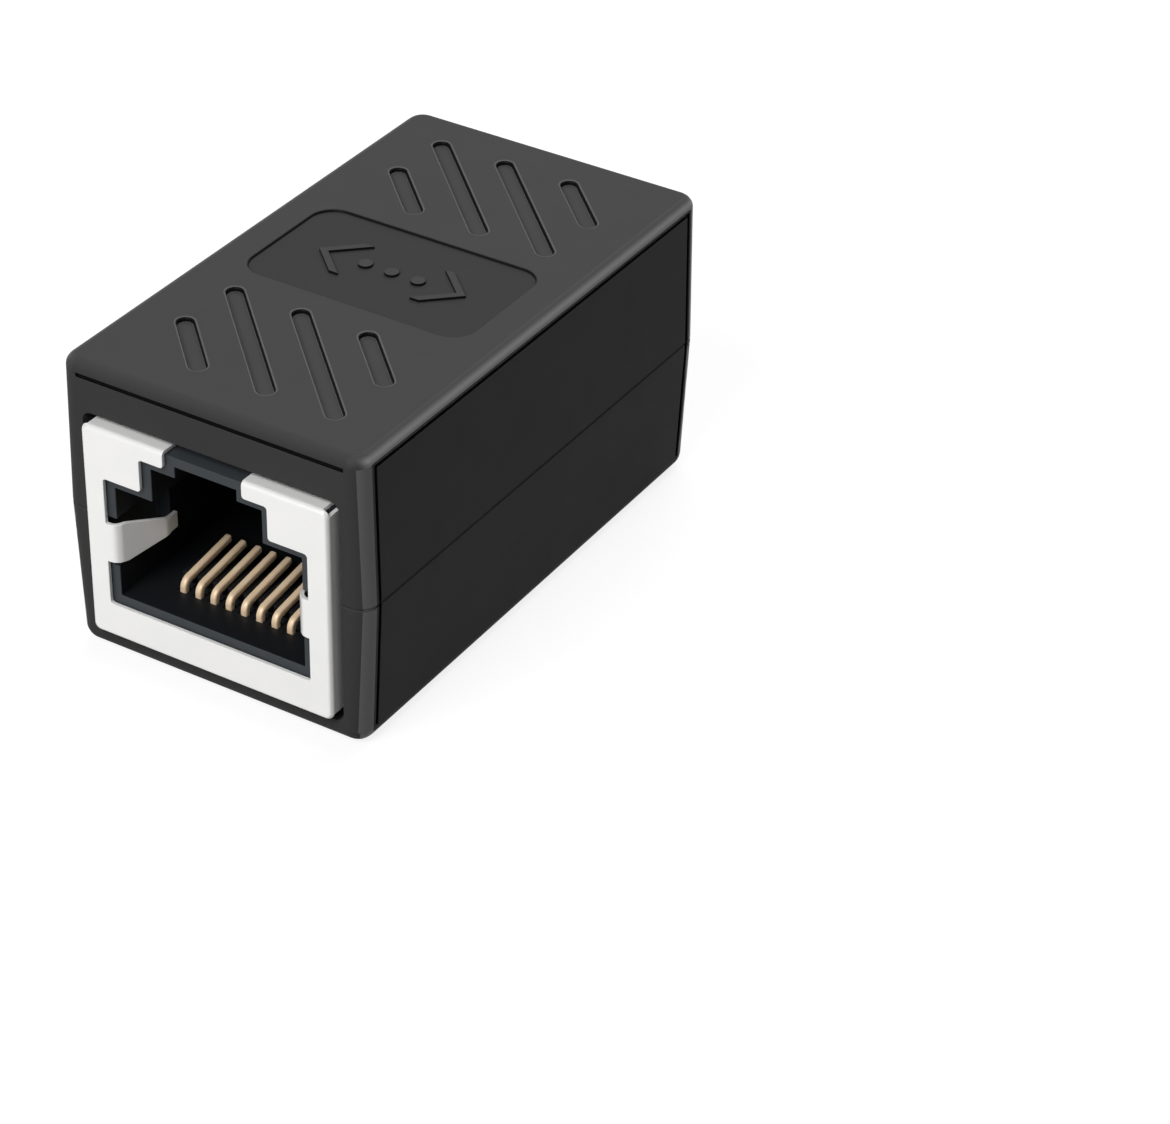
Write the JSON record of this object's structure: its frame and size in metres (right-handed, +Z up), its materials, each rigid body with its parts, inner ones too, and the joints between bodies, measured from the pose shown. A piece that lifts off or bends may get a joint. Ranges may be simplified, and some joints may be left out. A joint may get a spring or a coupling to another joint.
{
  "type": "ethernet inline coupler",
  "caption": "Shielded inline coupler that joins two network plugs end to end in a moulded housing.",
  "frame": {"origin": "on the ground under the middle of the housing", "axes": "+Z up, Y along the coupler from socket to socket with the front socket at -Y, X across"},
  "size_m": [0.0198, 0.0358, 0.0183],
  "materials": {
    "housing": "fine satin moulded",
    "shield": "nickel-plated sheet",
    "socket": "moulded",
    "carrier": "moulded",
    "contacts": "gilt wire",
    "board": "coated glass laminate"
  },
  "bodies": {
    "root": {"upper_shell": "housing", "lower_shell": "housing", "circuit_board": "board", "front_shield": "shield", "front_socket_body": "socket", "front_contact_carrier": "carrier", "front_contact_1": "contacts", "front_contact_2": "contacts", "front_contact_3": "contacts", "front_contact_4": "contacts", "front_contact_5": "contacts", "front_contact_6": "contacts", "front_contact_7": "contacts", "front_contact_8": "contacts", "rear_shield": "shield", "rear_socket_body": "socket", "rear_contact_carrier": "carrier", "rear_contact_1": "contacts", "rear_contact_2": "contacts", "rear_contact_3": "contacts", "rear_contact_4": "contacts", "rear_contact_5": "contacts", "rear_contact_6": "contacts", "rear_contact_7": "contacts", "rear_contact_8": "contacts"}
  },
  "joints": []
}
